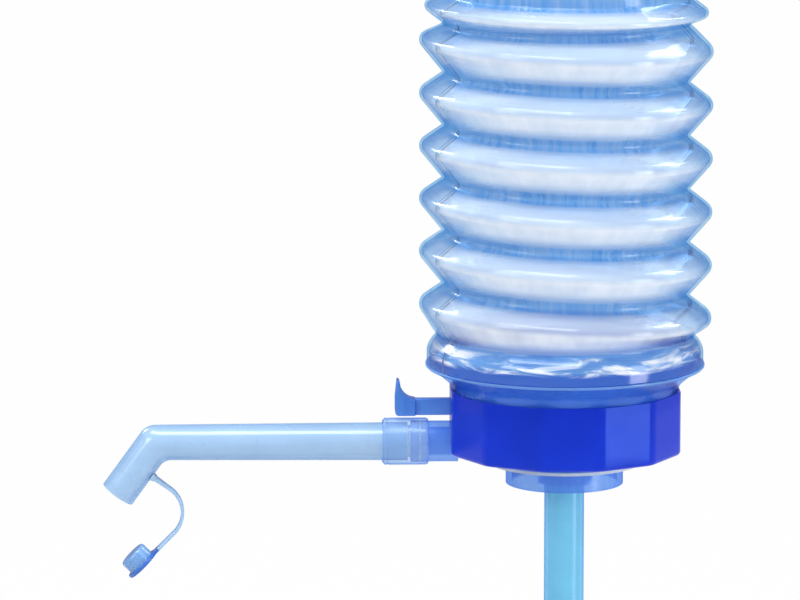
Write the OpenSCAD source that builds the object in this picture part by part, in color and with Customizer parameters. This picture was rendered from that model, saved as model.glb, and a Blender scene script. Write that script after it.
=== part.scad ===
// Hand pump for a water jug: a press bellows over a collar that holds the check valves, with a
// vent tab, a swivelling spout with a tethered cap, and a dip tube in three push-fit lengths.
// The origin is on the pump's axis in the plane of the jug's rim. +Z is up, the spout runs along -X.
// All sizes are in millimetres.

/* [Neck] */
// Radius of the spigot that plugs the jug's neck
spigot_r = 23; // [22:0.1:24]
// Length of the spigot below the rim
spigot_len = 8; // [6:0.5:14]
// Thickness of the gasket on the rim
gasket_t = 1.5; // [1:0.1:2]
// Outer radius of the rim gasket
gasket_r = 29.5; // [27.5:0.1:31]
// Thickness of the plate that presses on the gasket
seat_plate_t = 2.5; // [2:0.1:3]
// Radius of the seat plate
seat_plate_r = 31; // [29.5:0.1:33]

/* [Collar] */
// Distance from the axis to each of the collar's flats
collar_flat_r = 44.7; // [43.5:0.1:46]
// Number of flats round the collar
collar_sides = 12; // [8:2:16]
// Radius of the collar's rounded upright edges
collar_edge_r = 9; // [4:0.5:10]
// Height of the collar
collar_h = 25; // [25:0.5:28]
// How far the deck lies below the collar's top edge
deck_drop = 2; // [1:0.1:2.5]
// Gap between the rim plane and the collar's lower edge
collar_lift = 4.5; // [4:0.1:5]
// Wall of the collar
collar_wall = 2.5; // [2:0.1:3]

/* [Valve body] */
// Inner radius of the air chamber
chamber_r = 20.6; // [20:0.1:21.5]
// Outer radius of the chamber's top flange
chamber_flange_r = 26; // [25:0.1:26.2]
// Thickness of the chamber's top flange
chamber_flange_t = 1.5; // [1:0.1:2]
// Outer radius of the riser in the middle
riser_r = 10.2; // [10:0.1:11]
// Thickness of the webs and spokes
web_t = 1.6; // [1.2:0.1:2.4]
// Thickness of the gasket between chamber and deck
deck_gasket_t = 1.5; // [1:0.1:2]

/* [Outlet] */
// Height of the outlet's axis above the rim
outlet_z = 8.5; // [8.4:0.1:9]
// Radius of the outlet stub
stub_r = 8; // [7.9:0.1:8.2]
// Bore radius of the outlet
outlet_bore_r = 5.5; // [4.5:0.1:5.6]
// Distance from the axis to the end of the stub
stub_end = 60; // [58:0.5:62]

/* [Spout] */
// Outer radius of the coupling sleeve
sleeve_r = 9.2; // [9.1:0.1:9.5]
// Distance from the axis to the sleeve's near end
sleeve_near = 53.4; // [52:0.2:54]
// Length of the coupling sleeve
sleeve_len = 18; // [16:0.5:20]
// Outer radius of the spout tube where it leaves the sleeve
tube_r_near = 7.5; // [7.2:0.1:7.6]
// Outer radius of the spout tube at the knee and below it
tube_r_far = 6.95; // [6.9:0.05:7.2]
// Bore radius of the spout tube
tube_bore_r = 5.8; // [5:0.1:5.9]
// Distance from the axis to the corner of the bend
elbow_x = 160; // [130:1:200]
// Angle by which the spout turns down
bend_angle = 54; // [30:1:70]
// Length of the turned-down leg, from the corner of the bend to the mouth
leg_len = 25.4; // [22:0.2:40]

/* [Cap] */
// Radius of the cap's flange
cap_flange_r = 7.2; // [7:0.1:8]
// Thickness of the cap's flange
cap_flange_t = 1.4; // [1:0.1:2]
// Radial clearance of the cap's plug in the spout's mouth
cap_clear = 0.1; // [0.05:0.05:0.3]
// Height of the cap's plug
cap_plug_h = 5.3; // [3:0.1:6]
// Thickness of the strap
strap_t = 1.3; // [1:0.1:1.6]
// Width of the strap
strap_w = 5; // [3:0.5:7]
// Distance from the corner of the bend to the strap's root, along the leg
strap_root = 11.6; // [10.5:0.1:14]
// Straight length of the strap at its root
strap_start = 7; // [4:0.5:10]
// Centre-line radius of the strap's turn
strap_turn_r = 11.7; // [8:0.1:14]
// Angle through which the strap turns
strap_turn = 99; // [80:1:120]
// Straight length of the strap at the cap
strap_end = 8.6; // [6:0.2:12]

/* [Vent] */
// Height of the vent's axis above the rim
vent_z = 22.35; // [22.2:0.05:22.5]
// Bore radius of the vent port
vent_port_r = 2; // [1.5:0.1:2.4]
// Width of the vent's bar
vent_bar_w = 4.4; // [3.5:0.1:4.5]
// Height of the vent's bar
vent_bar_h = 6.4; // [5:0.1:6.5]
// Distance from the axis to the outer face of the vent's tab
vent_tab_x = 66.4; // [62:0.2:70]
// Height of the tab above the bar
vent_tab_h = 7.7; // [5:0.1:9]
// Width of the vent's tab
vent_tab_w = 8; // [6:0.5:12]
// Gap between the corners of the vent's bar and the coils of its spring
spring_clear = 0.1; // [0.05:0.05:0.2]
// Radius of the vent spring's wire
wire_r = 0.35; // [0.2:0.05:0.4]
// Number of coils in the vent spring
spring_coils = 5; // [3:1:6]

/* [Deck] */
// Thickness of the valve deck
deck_t = 2.5; // [2:0.1:3]
// Wall of the funnel
funnel_wall = 1.8; // [1.4:0.1:2.2]
// Radius at which the funnel starts to flare
funnel_foot_r = 44; // [43.4:0.1:44.4]
// Radius of the flare's hollow curve
flare_r = 8; // [6:0.5:10]
// Radius of the funnel's rim
rim_r = 54; // [53:0.2:56]
// How far the rim runs out past the flare
rim_lip = 1.6; // [1:0.1:3]
// How far the rim stands proud of the bellows' foot
rim_proud = 0.5; // [0:0.1:1.5]
// Thickness of the funnel's rim
rim_t = 1.2; // [1:0.1:2]
// Height of the ring inside the bellows' foot
rim_ring_h = 3.5; // [2:0.1:4]
// Height of the funnel's rim above the underside of the deck
funnel_h = 12; // [11.5:0.1:13]

/* [Check valves] */
// Radius of the outgoing valve's disc
out_disc_r = 9.5; // [9:0.1:12]
// Radius of the incoming valve's disc
in_disc_r = 6.5; // [6.4:0.1:7.2]
// Distance from the axis to the incoming valve
in_valve_x = 33; // [33:0.2:34]
// Thickness of the valve discs
disc_t = 1.2; // [0.8:0.1:1.5]
// Radius of the valve stems
stem_r = 1.6; // [1.2:0.1:1.8]
// Lift of both valves
valve_lift = 1.5; // [1:0.1:1.6]
// Radius of the clips on the stems
clip_r = 3.2; // [2.8:0.1:3.4]
// Thickness of the clips
clip_t = 1; // [0.8:0.1:1.2]
// Number of air holes round each stem
hole_count = 6; // [4:1:6]

/* [Bellows] */
// Wall of the bellows
bellows_wall = 1; // [0.7:0.1:1.3]
// Radius of the ribs' crests
crest_r = 57; // [54:0.5:62]
// Radius at the bottom of the grooves
groove_r = 48.2; // [46:0.2:50]
// Depth of the lowest groove, measured from the rim's radius
foot_groove_depth = 3.6; // [3:0.1:5]
// Rounding of the crests
crest_round = 3.2; // [2:0.1:4]
// Rounding of the grooves
groove_round = 1.2; // [0.8:0.1:1.6]
// Number of full ribs
rib_count = 6; // [4:1:8]
// Distance from rib to rib
rib_pitch = 20.8; // [19:0.2:24]
// Height of the lowest rib's crest above the lowest groove
first_rise = 9; // [8.5:0.1:12]
// Height from each rib's crest to the groove above it
crest_fall = 8.7; // [8.4:0.1:12]
// Rounding of the bead at the bellows' foot
bead_round = 6.8; // [5:0.1:7]
// Height of the straight part of the foot
foot_straight = 4.5; // [4.2:0.1:6]
// Straight length between the roundings of the bead and of the lowest groove
bead_flat = 2.9; // [2:0.1:5]

/* [Press dome] */
// Radius of the small rib under the dome
top_rib_r = 55; // [52:0.5:58]
// Rounding of the small rib under the dome
top_rib_round = 1.8; // [1.2:0.1:2.4]
// Rise from the top groove to the small rib's crest
top_rib_rise = 5.6; // [5.2:0.1:8]
// Rise from the small rib's crest to the dome's wall
neck_rise = 6.2; // [6:0.1:8]
// Radius of the dome's upright wall
dome_r = 47.8; // [44:0.2:50]
// Height of the dome's upright wall
dome_wall_h = 10; // [4:0.5:20]
// Rounding of the dome's shoulder
dome_round = 11; // [6:0.5:14]
// Depth of the dish in the dome's top
dish_depth = 2.5; // [1:0.1:4]

/* [Dip tube] */
// Outer radius of the dip tube
dip_r = 7.8; // [7.5:0.1:7.8]
// Wall of the dip tube
dip_wall = 1.5; // [1.2:0.1:2]
// Visible length of each section
dip_section = 148; // [100:1:160]
// Length of the reduced end that plugs into the section above
dip_plug_len = 12; // [8:1:16]
// Radial clearance between plugged sections
dip_clear = 0.08; // [0.05:0.01:0.15]
// Depth of the notches at the lower end
notch_h = 6; // [3:0.5:10]

/* [Hidden] */

$fn = 96;

// Colours
deep_blue = "#2238b8";
clear_blue = "#6f9ad8";
pale_blue = "#a9c8ec";
frost_blue = "#b4cdea";
sleeve_blue = "#4c78cc";
tube_blue = "#7cc8ff";
rubber_grey = "#4a4f58";
steel_grey = "#b9bec4";

// Cutters run past the faces that they cut by this much
over = 1;

// Levels, upwards from the rim plane
seat_z = gasket_t;
plate_top_z = seat_z + seat_plate_t;
collar_bottom_z = collar_lift;
deck_z = collar_bottom_z + collar_h - deck_drop;
chamber_top_z = deck_z - deck_gasket_t;
deck_top_z = deck_z + deck_t;
rim_top_z = deck_z + funnel_h;
bead_z = rim_top_z + foot_straight;
foot_groove_r = rim_r - foot_groove_depth;
bead_turn = bead_round + groove_round;
bead_h = sqrt(pow(bead_turn, 2) + pow(bead_flat, 2) - pow(bead_turn - foot_groove_depth, 2));
groove_z = bead_z + bead_h;
first_crest_z = groove_z + first_rise;
last_crest_z = first_crest_z + (rib_count - 1) * rib_pitch;
top_groove_z = last_crest_z + crest_fall;
top_rib_z = top_groove_z + top_rib_rise;
neck_z = top_rib_z + neck_rise;
shoulder_z = neck_z + dome_wall_h;

// Valve body
wall_clear = 0.2;
gasket_land_r = spigot_r + 0.5;
gasket_bore_r = gasket_land_r + wall_clear;
chamber_out_r = spigot_r;
collar_in_r = collar_flat_r - collar_wall;
web_bottom_z = collar_bottom_z + 1.5;
web_top_z = chamber_top_z - 2;
web_count = 6;
web_first_angle = 30;
spoke_count = 3;
spoke_bottom_z = -4;
spoke_top_z = outlet_z + 5;
riser_cap_t = 2;
riser_top_z = outlet_z + outlet_bore_r + riser_cap_t;
dip_socket_r = dip_r + 0.1;
dip_stop_r = dip_r - dip_wall + 0.3;
dip_top_z = outlet_z - outlet_bore_r + 1;
duct_r = outlet_z - seat_z - wall_clear;
duct_start = riser_r - over;
stub_start = collar_in_r - 0.4;
stub_slot_clear = 0.15;

// Seals
ring_squash = 0.03;
outlet_ring_r = 0.42;
outlet_groove_w = 1.2;
outlet_groove_depth = 0.8;
outlet_ring_x = (sleeve_near + stub_end) / 2;
outlet_ring_mid_r = stub_r - outlet_groove_depth + outlet_ring_r + ring_squash;
riser_ring_r = 0.48;
riser_groove_w = 1.4;
riser_groove_depth = 0.95;
riser_ring_z = -3;
riser_ring_mid_r = dip_socket_r + riser_groove_depth - riser_ring_r - ring_squash;

// Vent
vent_boss_r = vent_port_r + 1.6;
vent_boss_x = chamber_flange_r + 0.5;
vent_plug_r = vent_boss_r - 0.2;
vent_plug_t = 3;
vent_nose_len = 1.6;
vent_nose_r = vent_port_r - 0.2;
rings_per_coil = 12;
bar_half_diagonal = norm([vent_bar_w, vent_bar_h]) / 2;
spring_r = bar_half_diagonal / cos(180 / rings_per_coil) + spring_clear + wire_r;
vent_shoulder_r = spring_r + wire_r;
vent_shoulder_x = vent_boss_x + vent_plug_t;
vent_shoulder_t = 1.5;
spring_x = vent_shoulder_x + vent_shoulder_t;
window_clear = 0.2;
tab_stem_t = 2;
tab_tip_t = 1;
tab_tip_lean = 0.7;
tab_fillet_r = 6;
bar_corner_r = 1.6;
bar_mark_x = 55;
bar_mark_w = 2.4;
bar_mark_h = 4;
bar_mark_depth = 0.5;

// Funnel
flare_centre_r = funnel_foot_r + flare_r;
flare_end = [rim_r - rim_lip - flare_centre_r, funnel_h - rim_t];
flare_angle = atan2(flare_end[1], -flare_end[0]) - acos(flare_r / norm(flare_end));
rim_ring_out_r = rim_r - bellows_wall - 0.45;
rim_ring_wall = 1.6;
flare_out_end = flare_point(flare_r, flare_angle);
flare_in_end = flare_point(flare_r + funnel_wall, flare_angle);
flare_steps = 8;
rim_edge = 0.6;
scallop_clear = 0.2;

// Check valves
stem_clear = 0.3;
clip_clear = 0.1;
out_hole_r = 1.5;
out_hole_ring_r = 6;
in_hole_r = 1.2;
in_hole_ring_r = 4.2;
stem_tip = 0.8;

// Bellows
crest_steps = 6;
groove_steps = 4;
bead_steps = 6;
foot_wall = bellows_wall + 0.3;
dome_steps = 8;

// Sleeve
ledge_r = 6.2;
ledge_t = 1.2;
running_clear = 0.08;
press_clear = 0.05;
sleeve_edge = 1;
sleeve_far = sleeve_near + sleeve_len;
ledge_x = stub_end + 0.3;
tube_start = ledge_x + ledge_t;
sleeve_mark_x = sleeve_far - 2.3;
sleeve_mark_depth = 0.35;
sleeve_mark_w = 0.6;

// Spout
knee_fuller = 0.05;
lug_t = strap_t + 0.9;
lug_w = strap_w + 1;
lug_out_r = tube_r_far + 1.4;
lug_in_r = (tube_bore_r + tube_r_far) / 2;

// Strap and cap
strap_steps = 16;
tongue_len = 1.6;
cap_plug_r = tube_bore_r - cap_clear;
cap_edge = 0.6;

// Dip tube
dip_bore_r = dip_r - dip_wall;
dip_plug_r = dip_bore_r - dip_clear;
dip_plug_bore_r = dip_plug_r - 1.2;
upper_end_z = dip_top_z - dip_section;
middle_end_z = upper_end_z - dip_section;
lower_end_z = middle_end_z - dip_section;
notch_w = 5;

// A point on a circle
function on_circle(centre_r, centre_z, radius, angle) =
    [centre_r + radius * cos(angle), centre_z + radius * sin(angle)];

// Points along an arc in the radius-height plane, in steps
function arc(centre_r, centre_z, radius, from, to, steps) =
    [for (i = [0:steps]) on_circle(centre_r, centre_z, radius, from + (to - from) * i / steps)];

// A point on the flare's hollow curve, by the angle turned from upright
function flare_point(radius, angle) =
    [flare_centre_r - radius * cos(angle), deck_z + radius * sin(angle)];

// The angle above level of the outer normal of a flank, which is the line that touches
// a crest's circle on its outside and a groove's circle on its inside
function flank_angle(crest, crest_rad, groove, groove_rad, rise) =
    let (
        run = (groove + groove_rad) - (crest - crest_rad),
        span = sqrt(run * run + rise * rise)
    )
    atan2(rise, run) + asin((crest_rad + groove_rad) / span) - 90;

// Flank angles of the bellows
low_flank = flank_angle(crest_r, crest_round, groove_r, groove_round, rib_pitch - crest_fall);
high_flank = flank_angle(crest_r, crest_round, groove_r, groove_round, crest_fall);
first_flank = flank_angle(crest_r, crest_round, foot_groove_r, groove_round, first_rise);
bead_flank = flank_angle(rim_r, bead_round, foot_groove_r, groove_round, bead_h);
top_low_flank = flank_angle(top_rib_r, top_rib_round, groove_r, groove_round, top_rib_rise);
top_high_flank = flank_angle(top_rib_r, top_rib_round, dome_r, groove_round, neck_rise);

// Crest arc of one rib: the inner face is the same arc drawn with the wall taken off
function crest_arc(i, wall) =
    arc(crest_r - crest_round, first_crest_z + i * rib_pitch, crest_round - wall,
        i == 0 ? -first_flank : -low_flank, high_flank, crest_steps);

// Groove arc above one rib, or half of it under the dome
function groove_arc(i, wall) =
    let (last = i == rib_count - 1)
    arc(groove_r + groove_round, first_crest_z + i * rib_pitch + crest_fall, groove_round + wall,
        180 + high_flank, last ? 180 : 180 - low_flank, last ? groove_steps / 2 : groove_steps);

// One face of the folds, from the lowest groove to the top one
function folds_face(wall) = concat(
    arc(foot_groove_r + groove_round, groove_z, groove_round + wall,
        180, 180 - first_flank, groove_steps / 2),
    [for (i = [0:rib_count - 1]) each concat(crest_arc(i, wall), groove_arc(i, wall))]);

// One face of the foot's bead, from its straight part to the lowest groove
function bead_face(wall) = concat(
    arc(rim_r - bead_round, bead_z, bead_round - wall, 0, bead_flank, bead_steps),
    arc(foot_groove_r + groove_round, groove_z, groove_round + wall,
        180 + bead_flank, 180, groove_steps / 2));

// One face of the dome, from the top groove to the middle of its top
function dome_face(wall) = concat(
    arc(groove_r + groove_round, top_groove_z, groove_round + wall,
        180, 180 - top_low_flank, groove_steps / 2),
    arc(top_rib_r - top_rib_round, top_rib_z, top_rib_round - wall,
        -top_low_flank, top_high_flank, crest_steps),
    arc(dome_r + groove_round, neck_z, groove_round + wall,
        180 + top_high_flank, 180, groove_steps / 2),
    arc(dome_r - dome_round, shoulder_z, dome_round - wall, 0, 90, dome_steps),
    [[(dome_r - dome_round) / 3, shoulder_z + dome_round - wall - dish_depth],
        [0, shoulder_z + dome_round - wall - dish_depth]]);

// List in reverse
function backwards(points) = [for (i = [len(points) - 1:-1:0]) points[i]];

// Outline of a regular polygon with rounded corners and a flat across each axis
function rounded_polygon(flat_r, edge_r, sides, steps) =
    let (centre = (flat_r - edge_r) / cos(180 / sides), turn = 360 / sides)
    [for (k = [0:sides - 1], i = [0:steps])
        let (corner = (k + 0.5) * turn, a = corner + turn * (i / steps - 0.5))
        [centre * cos(corner) + edge_r * cos(a), centre * sin(corner) + edge_r * sin(a)]];

// Points on the spring: rings of the wire round the coil, and the least gap between turns
wire_sides = 6;
spring_len = collar_in_r - spring_x;
spring_rise = (spring_len - 2 * wire_r) / spring_coils;
ring_total = spring_coils * rings_per_coil;
function coil_point(i) =
    let (a = 360 * i / rings_per_coil)
    [spring_r * cos(a), spring_r * sin(a), wire_r + spring_rise * i / rings_per_coil];
function wire_ring(i) =
    let (a = 360 * i / rings_per_coil, c = coil_point(i))
    [for (j = [0:wire_sides - 1])
        let (b = 360 * j / wire_sides)
        c + [wire_r * cos(b) * cos(a), wire_r * cos(b) * sin(a), wire_r * sin(b)]];
coil_gaps = [for (i = [0:ring_total - 1], j = [i + rings_per_coil / 2:ring_total])
    norm(coil_point(i) - coil_point(j)) - 2 * wire_r];
echo(vent_spring_least_gap = min(coil_gaps));

// A tube along +Z
module tube(r_out, r_in, z_low, z_high) {
    difference() {
        translate([0, 0, z_low]) cylinder(r = r_out, h = z_high - z_low);
        translate([0, 0, z_low - over]) cylinder(r = r_in, h = z_high - z_low + 2 * over);
    }
}

// Turns what is drawn along +Z so that it runs along -X from a distance at a height
module towards_spout(from_x, height) {
    translate([-from_x, 0, height]) rotate([0, -90, 0]) children();
}

// The jug-side body: spigot, seat plate, air chamber, riser and water duct in one moulding
module valve_body() {
    color(clear_blue)
    difference() {
        union() {
            tube(spigot_r, chamber_r, -spigot_len, 0);
            tube(gasket_land_r, chamber_r, 0, seat_z);
            tube(seat_plate_r, chamber_r, seat_z, plate_top_z);
            tube(chamber_out_r, chamber_r, plate_top_z, chamber_top_z);
            tube(chamber_flange_r, chamber_r, chamber_top_z - chamber_flange_t, chamber_top_z);
            translate([0, 0, -spigot_len]) cylinder(r = riser_r, h = spigot_len + riser_top_z);
            towards_spout(duct_start, outlet_z) cylinder(r = duct_r, h = stub_end - duct_start);
            towards_spout(stub_start, outlet_z) cylinder(r = stub_r, h = stub_end - stub_start);
            towards_spout(chamber_r + 0.4, vent_z)
                cylinder(r = vent_boss_r, h = vent_boss_x - chamber_r - 0.4);
            chamber_spokes();
            collar_webs();
        }
        translate([0, 0, -spigot_len - over])
            cylinder(r = dip_socket_r, h = spigot_len + dip_top_z + over);
        cylinder(r = dip_stop_r, h = riser_top_z - riser_cap_t);
        towards_spout(0, outlet_z) cylinder(r = outlet_bore_r, h = stub_end + over);
        towards_spout(chamber_r - over, vent_z)
            cylinder(r = vent_port_r, h = vent_boss_x - chamber_r + 2 * over);
        towards_spout(outlet_ring_x - outlet_groove_w / 2, outlet_z)
            tube(stub_r + over, stub_r - outlet_groove_depth, 0, outlet_groove_w);
        translate([0, 0, riser_ring_z - riser_groove_w / 2])
            cylinder(r = dip_socket_r + riser_groove_depth, h = riser_groove_w);
    }
}

// Spokes that hold the riser in the chamber, clear of the duct's side
module chamber_spokes() {
    spoke_len = chamber_r - riser_r + 2 * over;
    for (k = [1:spoke_count - 1]) {
        rotate([0, 0, 180 + k * 360 / spoke_count])
            translate([riser_r - over, -web_t / 2, spoke_bottom_z])
            cube([spoke_len, web_t, spoke_top_z - spoke_bottom_z]);
    }
}

// Webs that carry the collar, each ending flat on the inside of one of its flats
module collar_webs() {
    web_start = chamber_out_r - over;
    for (k = [0:web_count - 1]) {
        rotate([0, 0, web_first_angle + k * 360 / web_count])
            translate([web_start, -web_t / 2, web_bottom_z])
            cube([collar_in_r - web_start, web_t, web_top_z - web_bottom_z]);
    }
}

// Grip collar: flats with rounded edges, a top edge that fits the flare, openings for stub and vent
module collar() {
    lower_edge = 2;
    corner_r = collar_flat_r / cos(180 / collar_sides);
    color(deep_blue)
    difference() {
        intersection() {
            translate([0, 0, collar_bottom_z])
                linear_extrude(height = collar_h)
                polygon(rounded_polygon(collar_flat_r, collar_edge_r, collar_sides, 4));
            rotate_extrude()
                polygon(concat(
                    [[0, collar_bottom_z - over]],
                    arc(corner_r - lower_edge, collar_bottom_z + lower_edge, lower_edge, -90, 0, 4),
                    [[corner_r, collar_bottom_z + collar_h + over],
                        [0, collar_bottom_z + collar_h + over]]));
        }
        translate([0, 0, collar_bottom_z - over])
            linear_extrude(height = deck_z - collar_bottom_z + over)
            polygon(rounded_polygon(collar_in_r, collar_edge_r - collar_wall, collar_sides, 4));
        // what lies inside the flare's outer face, above the seat of the deck
        rotate_extrude()
            polygon(concat(
                [[0, deck_z], [funnel_foot_r + scallop_clear, deck_z]],
                [for (i = [1:flare_steps])
                    flare_point(flare_r - scallop_clear, flare_angle * i / flare_steps)],
                [[0, flare_out_end[1]]]));
        stub_slot();
        vent_window();
    }
}

// Slot in the collar that lets the outlet stub out at its lower edge
module stub_slot() {
    slot_r = stub_r + stub_slot_clear;
    towards_spout(collar_in_r - 4 * over, outlet_z) cylinder(r = slot_r, h = collar_wall + 8 * over);
    translate([-collar_in_r - collar_wall - 4 * over, -slot_r, collar_bottom_z - over])
        cube([collar_wall + 8 * over, 2 * slot_r, outlet_z - collar_bottom_z + over]);
}

// Window in the collar that guides the vent's bar
module vent_window() {
    translate([-collar_in_r - collar_wall / 2, 0, vent_z])
        cube([collar_wall + 2 * over, vent_bar_w + 2 * window_clear, vent_bar_h + 2 * window_clear],
            center = true);
}

// Deck with the two valve seats, running out into the funnel and the rim that carries the bellows
module funnel_deck() {
    ring_in_r = rim_ring_out_r - rim_ring_wall;
    slope = tan(90 - flare_angle);
    in_join_z = flare_in_end[1] + (ring_in_r - flare_in_end[0]) * slope;
    under_rim_z = rim_top_z - rim_t;
    rim_out_r = rim_r + rim_proud;
    in_first = asin(deck_t / (flare_r + funnel_wall));
    color(pale_blue)
    difference() {
        rotate_extrude()
            polygon(concat(
                [[0, deck_z]],
                [for (i = [0:flare_steps]) flare_point(flare_r, flare_angle * i / flare_steps)],
                [[rim_r - rim_lip, under_rim_z], [rim_out_r - rim_edge, under_rim_z],
                    [rim_out_r, under_rim_z + rim_edge], [rim_out_r, rim_top_z],
                    [rim_ring_out_r, rim_top_z],
                    [rim_ring_out_r, rim_top_z + rim_ring_h - rim_edge],
                    [rim_ring_out_r - rim_edge, rim_top_z + rim_ring_h],
                    [ring_in_r, rim_top_z + rim_ring_h], [ring_in_r, in_join_z]],
                [for (i = [flare_steps:-1:0])
                    flare_point(flare_r + funnel_wall,
                        in_first + (flare_angle - in_first) * i / flare_steps)],
                [[0, deck_top_z]]));
        valve_seat(0, out_hole_ring_r, out_hole_r);
        valve_seat(in_valve_x, in_hole_ring_r, in_hole_r);
    }
}

// Holes of one check valve: one for its stem, and the air holes round it
module valve_seat(seat_x, ring_r, hole_r) {
    translate([seat_x, 0, deck_z - over]) {
        cylinder(r = stem_r + stem_clear, h = deck_t + 2 * over);
        for (k = [0:hole_count - 1]) {
            rotate([0, 0, (k + 0.5) * 360 / hole_count])
                translate([ring_r, 0, 0]) cylinder(r = hole_r, h = deck_t + 2 * over);
        }
    }
}

module rim_gasket() {
    color(rubber_grey) tube(gasket_r, gasket_bore_r, 0, seat_z);
}

module deck_gasket() {
    color(rubber_grey)
    tube(chamber_flange_r - wall_clear, chamber_r + wall_clear, chamber_top_z, deck_z);
}

// Foot of the bellows: a straight band pushed over the funnel's ring, and the bead above it
module bellows_skirt() {
    color(pale_blue)
    rotate_extrude()
        polygon(concat(
            [[rim_r, rim_top_z]],
            bead_face(0),
            backwards(bead_face(bellows_wall)),
            [[rim_r - bellows_wall, rim_top_z + rim_ring_h + rim_edge],
                [rim_r - foot_wall, rim_top_z + rim_ring_h],
                [rim_r - foot_wall, rim_top_z]]));
}

// The folds between the lowest groove and the top one
module bellows_folds() {
    color(pale_blue)
    rotate_extrude()
        polygon(concat(folds_face(0), backwards(folds_face(bellows_wall))));
}

// Top of the bellows: small rib, upright wall, rounded shoulder and a dished press face
module bellows_dome() {
    color(pale_blue)
    rotate_extrude()
        polygon(concat(dome_face(0), backwards(dome_face(bellows_wall))));
}

// Valve disc with its stem, drawn with the disc's seat at z = 0 and the stem along +Z
module valve_disc(disc_r) {
    disc_edge = 0.3;
    stem_len = deck_t + valve_lift + clip_clear + clip_t + stem_tip;
    translate([0, 0, -disc_t]) cylinder(r1 = disc_r - disc_edge, r2 = disc_r, h = disc_edge);
    translate([0, 0, disc_edge - disc_t]) cylinder(r = disc_r, h = disc_t - disc_edge);
    cylinder(r = stem_r, h = stem_len);
}

// Clip on the stem, with the same frame as the disc
module valve_clip() {
    translate([0, 0, deck_t + valve_lift + clip_clear])
        tube(clip_r, stem_r + press_clear, 0, clip_t);
}

// Turns a valve over so that its disc lies on the deck's top at the incoming seat
module at_intake() {
    translate([in_valve_x, 0, deck_top_z]) rotate([180, 0, 0]) children();
}

module intake_valve() {
    color(rubber_grey) at_intake() valve_disc(in_disc_r);
}

module intake_clip() {
    color(pale_blue) at_intake() valve_clip();
}

module discharge_valve() {
    color(rubber_grey) translate([0, 0, deck_z]) valve_disc(out_disc_r);
}

module discharge_clip() {
    color(pale_blue) translate([0, 0, deck_z]) valve_clip();
}

// Vent slider: shoulder for the spring, bar through the collar's window, and the finger tab
module vent_slider() {
    bar_low_z = vent_z - vent_bar_h / 2;
    bar_high_z = vent_z + vent_bar_h / 2;
    tab_inner_x = vent_tab_x - tab_stem_t;
    tab_tip_x = vent_tab_x - tab_tip_lean;
    color(sleeve_blue) {
        difference() {
            union() {
                towards_spout(vent_shoulder_x, vent_z)
                    cylinder(r = vent_shoulder_r, h = vent_shoulder_t);
                translate([-tab_inner_x, -vent_bar_w / 2, bar_low_z])
                    cube([tab_inner_x - vent_shoulder_x - vent_shoulder_t / 2, vent_bar_w, vent_bar_h]);
                translate([0, vent_tab_w / 2, 0]) rotate([90, 0, 0])
                    linear_extrude(height = vent_tab_w)
                    polygon(concat(
                        arc(-vent_tab_x + bar_corner_r, bar_low_z + bar_corner_r, bar_corner_r,
                            270, 180, 4),
                        [[-vent_tab_x, bar_high_z + tab_tip_lean],
                            [-tab_tip_x, bar_high_z + vent_tab_h],
                            [-tab_tip_x + tab_tip_t, bar_high_z + vent_tab_h - tab_tip_t / 2]],
                        arc(-tab_inner_x + tab_fillet_r, bar_high_z + tab_fillet_r, tab_fillet_r,
                            180, 270, 6),
                        [[-tab_inner_x + tab_fillet_r, bar_low_z]]));
            }
            bar_marks();
        }
    }
}

// Shallow sinks on both sides of the vent's bar
module bar_marks() {
    for (side = [-1, 1]) {
        translate([-bar_mark_x, side * vent_bar_w / 2, vent_z])
            cube([bar_mark_w, 2 * bar_mark_depth, bar_mark_h], center = true);
    }
}

// Rubber plug on the slider's end, with a nose that enters the port
module vent_plug() {
    color(rubber_grey)
    towards_spout(vent_boss_x, vent_z) {
        cylinder(r = vent_plug_r, h = vent_plug_t);
        translate([0, 0, -vent_nose_len])
            cylinder(r1 = vent_nose_r - 0.5, r2 = vent_nose_r, h = vent_nose_len);
    }
}

// Coil spring between the slider's shoulder and the inside of the collar
module vent_spring() {
    points = [for (i = [0:ring_total]) each wire_ring(i)];
    last = ring_total * wire_sides;
    sides = [for (i = [0:ring_total - 1], j = [0:wire_sides - 1], half = [0, 1])
        let (a = i * wire_sides + j, b = i * wire_sides + (j + 1) % wire_sides)
        half == 0 ? [a, a + wire_sides, b] : [b, a + wire_sides, b + wire_sides]];
    near_end = [for (j = [1:wire_sides - 2]) [0, j, j + 1]];
    far_end = [for (j = [1:wire_sides - 2]) [last, last + j + 1, last + j]];
    color(steel_grey)
    towards_spout(spring_x, vent_z)
        polyhedron(points = points, faces = concat(sides, near_end, far_end));
}

// Sleeve that turns on the outlet stub and holds the spout tube
module spout_coupling() {
    color(sleeve_blue)
    towards_spout(0, outlet_z)
        rotate_extrude()
        polygon([
            [stub_r + running_clear, sleeve_near],
            [sleeve_r - sleeve_edge / 2, sleeve_near],
            [sleeve_r, sleeve_near + sleeve_edge],
            [sleeve_r, sleeve_mark_x],
            [sleeve_r - sleeve_mark_depth, sleeve_mark_x + sleeve_mark_w / 2],
            [sleeve_r, sleeve_mark_x + sleeve_mark_w],
            [sleeve_r, sleeve_far - sleeve_edge],
            [sleeve_r - sleeve_edge, sleeve_far],
            [tube_r_near, sleeve_far],
            [tube_r_near, tube_start],
            [ledge_r, tube_start],
            [ledge_r, ledge_x],
            [stub_r + running_clear, ledge_x]]);
}

// Places what follows in the frame of the turned-down leg: origin at the corner of the bend,
// +Z up the leg towards the corner, +X towards the pump
module in_leg() {
    translate([-elbow_x, 0, outlet_z]) rotate([0, 90 - bend_angle, 0]) children();
}

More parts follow.
